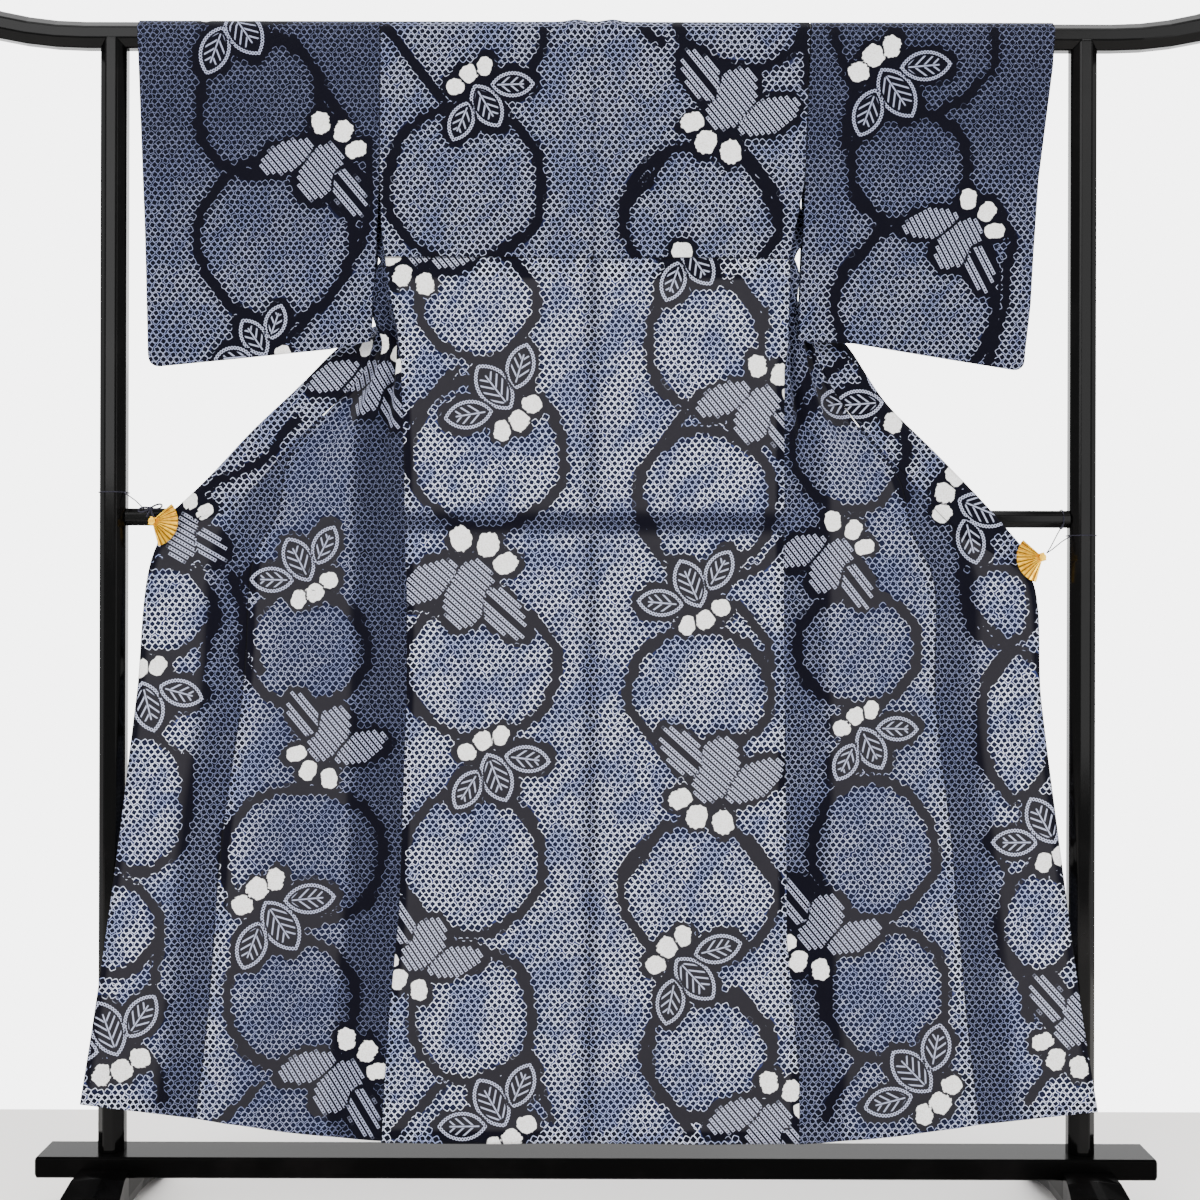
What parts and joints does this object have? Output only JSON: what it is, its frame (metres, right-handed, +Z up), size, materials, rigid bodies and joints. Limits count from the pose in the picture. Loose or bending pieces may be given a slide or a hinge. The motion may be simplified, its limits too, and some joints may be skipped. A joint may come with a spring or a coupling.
{
  "type": "yukata on a kimono rack",
  "caption": "Indigo tie-dyed cotton yukata with leaf vines, seen from the back and held open by gold fan clips on a black lacquered kimono rack with upswept bar ends.",
  "frame": {"origin": "centre of the footprint at floor level, under the middle of the rack", "axes": "+X to the right of someone who faces the back of the garment, along the top bar; +Y away from them; +Z up"},
  "size_m": [1.8318, 0.424, 1.7541],
  "materials": {
    "lacquer": "black lacquer over wood, high gloss",
    "shibori_cotton": "thin indigo tie-dyed cotton with undyed rings, leaves and buds on charcoal ground",
    "gilt_brass": "gilt pleated fan, polished",
    "cord": "thin twisted cord, matte"
  },
  "bodies": {
    "root": {"top_bar": "lacquer", "crossbar": "lacquer", "base_beam": "lacquer", "post_left": "lacquer", "post_right": "lacquer", "foot_left": "lacquer", "foot_right": "lacquer", "body_left": "shibori_cotton", "body_right": "shibori_cotton", "overlap_left": "shibori_cotton", "overlap_right": "shibori_cotton", "sleeve_left": "shibori_cotton", "sleeve_right": "shibori_cotton", "collar": "shibori_cotton", "clip_fan_left": "gilt_brass", "clip_fan_right": "gilt_brass", "clip_jaw_left": "gilt_brass", "clip_jaw_right": "gilt_brass", "clip_tie_left": "cord", "clip_tie_right": "cord", "clip_bow_left": "cord"}
  },
  "joints": []
}
